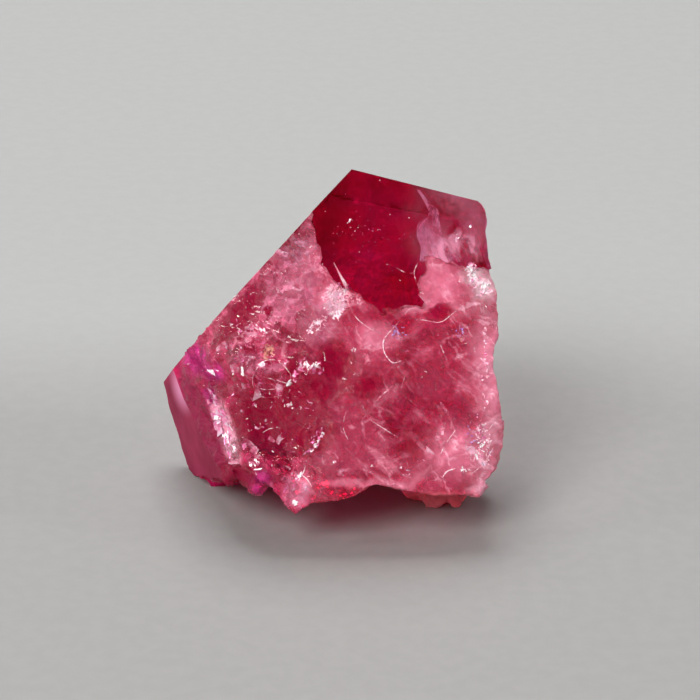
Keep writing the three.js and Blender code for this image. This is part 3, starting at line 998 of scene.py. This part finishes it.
def beryl():
    """Clear raspberry beryl, milky and webbed with healed cracks where it is broken."""
    material = bpy.data.materials.new("red_beryl")
    m = Shading(material)
    s = front_marks(m)
    chips = m.add("TexVoronoi", {"feature": "F1"}, {"Vector": s.ragged, "Scale": 5.0})
    height = s.grain * 0.004 + chips * 0.025 * s.chipped * (1 - s.glassy)
    dents = m.add("Bump", None, {"Strength": s.broken, "Distance": MM, "Height": height})
    clear = m.add("BsdfPrincipled", None, {
        "Base Color": glass_tint(m, s),
        "Roughness": 0.05,
        "IOR": BERYL_IOR,
        "Specular IOR Level": 0.25,
        "Transmission Weight": 1.0,
        "Normal": dents,
    })
    frosted = m.add("BsdfPrincipled", None, {
        "Base Color": frost_tint(m, s),
        "Roughness": 1 - s.broken * 0.5,
        "IOR": BERYL_IOR,
        "Specular IOR Level": 0.05,
        "Transmission Weight": 0.3,
        "Normal": dents,
    })
    surface = m.add("MixShader", None, {0: frosting(m, s), 1: clear, 2: frosted})
    volume = m.add("VolumeAbsorption", None, {"Color": RASPBERRY, "Density": RASPBERRY_DENSITY})
    m.add("OutputMaterial", None, {"Surface": surface, "Volume": volume})
    return material


def veil():
    """A healed crack inside: pale fibres and clouds of tiny bubbles, thin enough to see between."""
    material = bpy.data.materials.new("healed_crack")
    m = Shading(material)
    front = front_coordinates(m)
    drawn = m.add("Mapping", None, {"Vector": bent(m, front, 2.5, 0.25), "Scale": (4.0, 1.0, 1.3)})
    strands = m.noise(drawn, 1.6, 5.0, 0.65)
    cloud = m.noise(front, 2.2, 4.0, 0.6)
    thick = strands.step(0.4, 0.68) * 0.5 + cloud.step(0.4, 0.65) * 0.6
    m.surface({
        "Base Color": m.mix(thick.at_most(1.0), (1.0, 0.3, 0.4, 1), (1.0, 0.74, 0.72, 1)),
        "Roughness": 0.6,
        "Specular IOR Level": 0.1,
        "Alpha": (thick * 1.1 + 0.12).at_most(0.9),
    })
    return material


def frost():
    """Crushed, frosted crystal: pale pink, whiter in places after a noise."""
    material = bpy.data.materials.new("frosted_crystal")
    m = Shading(material)
    shade = m.noise(front_coordinates(m), 4.0, 4.0, 0.65)
    m.surface({
        "Base Color": m.mix(shade.step(0.35, 0.62), (1.0, 0.36, 0.5, 1), (1.0, 0.78, 0.85, 1)),
        "Roughness": 0.45,
        "IOR": BERYL_IOR,
        "Alpha": shade.step(0.2, 0.45) * 0.4 + 0.5,
    })
    return material


def crack_edge():
    """The edge of a crack: a pale broken line, clear in places."""
    material = bpy.data.materials.new("crack_edge")
    m = Shading(material)
    shade = m.noise(front_coordinates(m), 3.5, 3.0, 0.6)
    m.surface({
        "Base Color": m.mix(shade.step(0.4, 0.6), (1.0, 0.35, 0.5, 1), (1.0, 0.75, 0.82, 1)),
        "Roughness": 0.5,
        "Specular IOR Level": 0.1,
        "Alpha": shade.step(0.4, 0.56) * 0.8,
    })
    return material


def crack_plate():
    """A flat crack in the glass, seen as a faint pink pane with brighter clouds."""
    material = bpy.data.materials.new("crack_plate")
    m = Shading(material)
    cloud = m.noise(front_coordinates(m), 2.5, 4.0, 0.6).step(0.4, 0.62)
    m.surface({
        "Base Color": m.mix(cloud, (1.0, 0.14, 0.33, 1), (1.0, 0.6, 0.75, 1)),
        "Roughness": 0.25,
        "Alpha": cloud * 0.28 + 0.06,
    })
    return material


def painted_glint():
    """A painted glint: a small white flake with a touch of pink that stands in for a highlight."""
    material = bpy.data.materials.new("painted_glint")
    m = Shading(material)
    shade = m.noise(front_coordinates(m), 9.0)
    m.surface({
        "Base Color": m.mix(shade.step(0.35, 0.5), (1.0, 0.62, 0.76, 1), (1.0, 0.95, 0.96, 1)),
        "Roughness": shade * 0.2 + 0.1,
        "IOR": BERYL_IOR,
    })
    return material


def thin_film():
    """The colours of a crack thin enough to shimmer: lavender, and orange in a few places."""
    material = bpy.data.materials.new("shimmering_crack")
    m = Shading(material)
    front = front_coordinates(m)
    warm = patches(m, front, ORANGE_PATCHES)
    shade = m.noise(front, 8.0)
    lavender = m.mix(shade.step(0.4, 0.6), (0.5, 0.28, 0.9, 1), (0.85, 0.6, 1.0, 1))
    m.surface({
        "Base Color": m.mix(warm, lavender, (1.0, 0.5, 0.4, 1)),
        "Roughness": 0.35,
        "Metallic": 0.3,
        "Alpha": shade.step(0.3, 0.6) * 0.45 + 0.25 - warm * 0.1,
    })
    return material


def crack_mirror():
    """The silvery pink of an open crack, which mirrors most of the light that reaches it."""
    material = bpy.data.materials.new("crack_mirror")
    m = Shading(material)
    front = front_coordinates(m)
    shade = m.noise(front, 6.0, 3.0, 0.6)
    m.surface({
        "Base Color": m.mix(shade.step(0.4, 0.65), (1.0, 0.2, 0.48, 1), (1.0, 0.68, 0.84, 1)),
        "Roughness": m.noise(front, 15.0) * 0.3 + 0.05,
        "Specular IOR Level": 0.2,
        "Metallic": 0.5,
    })
    return material


def floor_finish():
    """Pale, dull floor with a faint speckle and painted shade: a little darker towards the camera."""
    material = bpy.data.materials.new("pale_floor")
    m = Shading(material)
    place = m.add("TexCoord", output=3)
    # Painted shade: the floor is a little darker from just behind the crystal towards the camera.
    near = m.add("SeparateXYZ", None, {0: place}, output=1).step(0.011, 0.003)
    speckle = m.noise(place, 2600.0).step(0.3, 0.7)
    pale = m.mix(speckle, (0.264, 0.264, 0.26, 1), (0.272, 0.272, 0.267, 1))
    dull = m.mix(speckle, (0.213, 0.209, 0.205, 1), (0.222, 0.218, 0.213, 1))
    m.surface({"Base Color": m.mix(near, pale, dull), "Roughness": 0.7})
    return material


# ---- Stage, light and camera ---------------------------------------------------------------------
def make_floor():
    """A round floor under the crystal, far wider than it."""
    bm = bmesh.new()
    bmesh.ops.create_circle(bm, cap_ends=True, segments=64, radius=FLOOR_RADIUS)
    mesh = bpy.data.meshes.new("floor")
    bm.to_mesh(mesh)
    bm.free()
    floor = bpy.data.objects.new("floor", mesh)
    bpy.context.scene.collection.objects.link(floor)
    mesh.materials.append(floor_finish())


def make_light(name, place, size, power, mirrored):
    """A round soft light aimed at the crystal. Unless mirrored, it only brightens what is rough."""
    lamp = bpy.data.lights.new(name, "AREA")
    lamp.shape = "DISK"
    lamp.size = size
    lamp.energy = power
    light = bpy.data.objects.new(name, lamp)
    light.location = place
    light.rotation_euler = (AIM - Vector(place)).to_track_quat("-Z", "Y").to_euler()
    light.visible_glossy = mirrored
    bpy.context.scene.collection.objects.link(light)


def make_world():
    """A pale room, darkest high up on the camera's side, so that the end face mirrors it deep red."""
    world = bpy.data.worlds.new("studio")
    bpy.context.scene.world = world
    w = Shading(world)
    direction = w.add("TexCoord")
    toward = {0: direction, 1: TO_DARK_CARD}
    to_card = w.add("VectorMath", {"operation": "DOT_PRODUCT"}, toward, output=1)
    height = w.add("SeparateXYZ", None, {0: direction}, output=2)
    room = height.step(0.75, 0.1) * ROOM_RING + ROOM_TOP
    light = room * to_card.step(0.85, 0.45) + ROOM_DARK
    background = w.add("Background", None, {"Color": light, "Strength": 1.0})
    w.add("OutputWorld", None, {"Surface": background})


def make_camera():
    """A long lens that looks straight at the leaning front."""
    data = bpy.data.cameras.new("camera")
    data.lens = LENS
    data.sensor_width = SENSOR
    data.clip_start = CLIP_START
    data.clip_end = CLIP_END
    camera = bpy.data.objects.new("camera", data)
    camera.location = AIM - INTO_FRONT * CAMERA_DISTANCE
    camera.rotation_euler = INTO_FRONT.to_track_quat("-Z", "Y").to_euler()
    bpy.context.scene.collection.objects.link(camera)
    bpy.context.scene.camera = camera


# ---- The crystal, its inner pieces and the stage -------------------------------------------------
noise.seed_set(NOISE_SEED)
normals = natural_normals()
body = crystal_body(normals)
body.data.materials.append(beryl())
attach(body, BODY)
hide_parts("crystal")
find = surface_finder(body)
mirror = crack_mirror()
frosted = frost()
edges = crack_edge()
make_flakes("lower_left_flakes", find, LEFT_FLAKES, mirror, seed=5)
make_flakes("right_flakes", find, RIGHT_FLAKES, mirror, seed=6)
crack_curtain(find, veil())
bubble_specks(find, normals[-1], frosted)
splinter(find, frosted)
make_threads("thick_crack_edges", find, THICK_THREADS, THICK_THREAD, edges)
make_threads("thin_crack_edges", find, THIN_THREADS, THIN_THREAD, edges)
make_flakes("crack_plates", find, CRACK_PLATES, crack_plate(), seed=21)
make_flakes("rosette", find, ROSETTE_FLAKES, frosted, seed=8)
make_flakes("painted_glints", find, PAINTED_GLINTS, painted_glint(), seed=12)
make_flakes("shimmering_flakes", find, FILM_FLAKES, thin_film(), seed=9)
make_floor()
make_world()
for light in LIGHTS:
    make_light(*light)
make_camera()
bpy.context.scene.view_settings.view_transform = "Standard"
